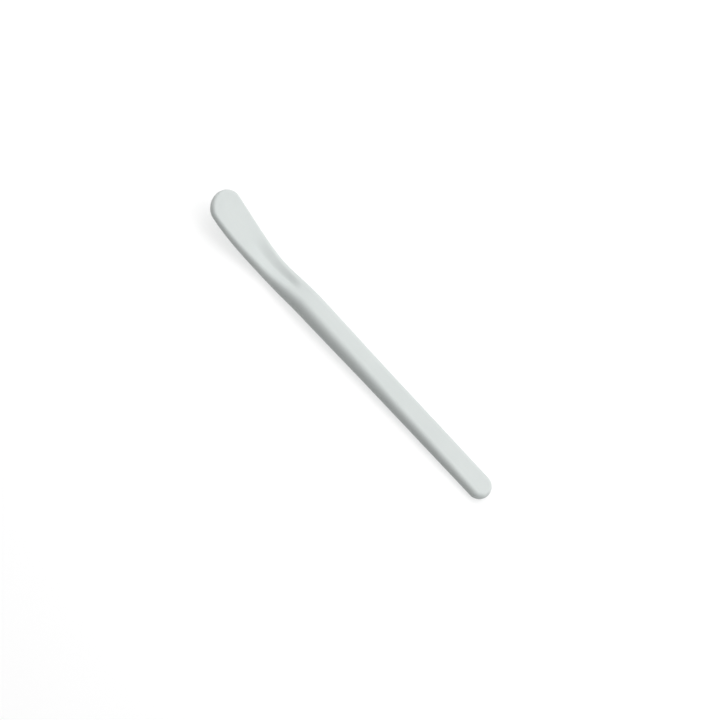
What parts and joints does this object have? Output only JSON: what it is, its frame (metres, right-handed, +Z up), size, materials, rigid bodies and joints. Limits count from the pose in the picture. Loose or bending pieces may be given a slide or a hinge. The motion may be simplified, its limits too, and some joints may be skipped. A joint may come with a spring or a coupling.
{
  "type": "bone folder",
  "caption": "One-piece moulded paper-creasing tool: a straight round-ended bar handle, a thumb hollow in the neck and a thin flared blade that curves up to a rounded tip.",
  "frame": {"origin": "bottom centre of the tool's box, on the plane of the flat underside that it rests on", "axes": "+X along the tool towards the round handle end, blade tip at -X; +Y across the tool; +Z up from the flat underside, the way the blade tip curves and the thumb hollow faces"},
  "size_m": [0.2001, 0.021, 0.014],
  "materials": {
    "moulded_plastic": "satin moulded plastic, pale cool grey-white"
  },
  "bodies": {
    "root": {"folder_body": "moulded_plastic"}
  },
  "joints": []
}
